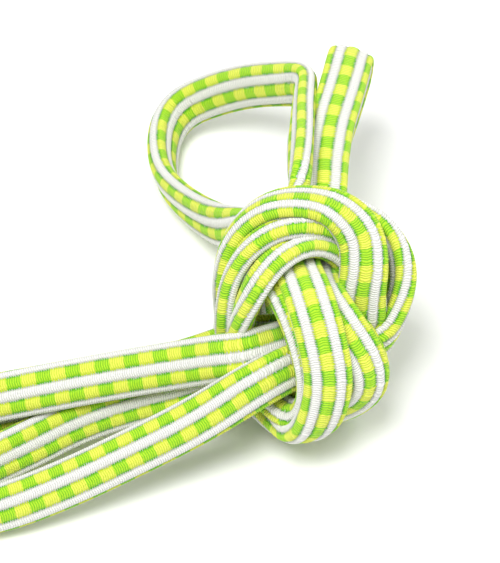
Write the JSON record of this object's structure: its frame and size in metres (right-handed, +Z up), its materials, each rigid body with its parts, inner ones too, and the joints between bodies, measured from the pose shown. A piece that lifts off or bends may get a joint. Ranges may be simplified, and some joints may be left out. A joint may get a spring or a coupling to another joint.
{
  "type": "elastic skipping loop",
  "caption": "Flat-oval woven elastic band, striped white and green-yellow check, a closed loop folded to four strands, tied in an overhand knot, its far length coiled",
  "frame": {"origin": "under the middle of the whole part, on the surface that it lies on", "axes": "+Z up; the band runs along X from the coil at -X to the knot at +X; the two closed ends of the band stand out of the knot towards +Y"},
  "size_m": [0.2182, 0.1306, 0.0457],
  "materials": {
    "woven_cover": "ribbed woven polyester, white stripes between green and yellow checked stripes",
    "rubber": "natural latex threads",
    "ferrule": "crimped plated steel"
  },
  "bodies": {
    "root": {"folded_end_core": "rubber", "folded_end_cover": "woven_cover", "join_ferrule": "ferrule", "joined_ends": "woven_cover", "knot_first_pass": "woven_cover", "knot_front_turn": "woven_cover", "knot_over_turn": "woven_cover", "knot_under_pass": "woven_cover", "open_loop_core": "rubber", "open_loop_cover": "woven_cover", "stored_coil": "woven_cover", "strand_back_core": "rubber", "strand_back_cover": "woven_cover", "strand_front_core": "rubber", "strand_front_cover": "woven_cover", "strand_middle_core": "rubber", "strand_middle_cover": "woven_cover", "strand_top_core": "rubber", "strand_top_cover": "woven_cover"}
  },
  "joints": []
}
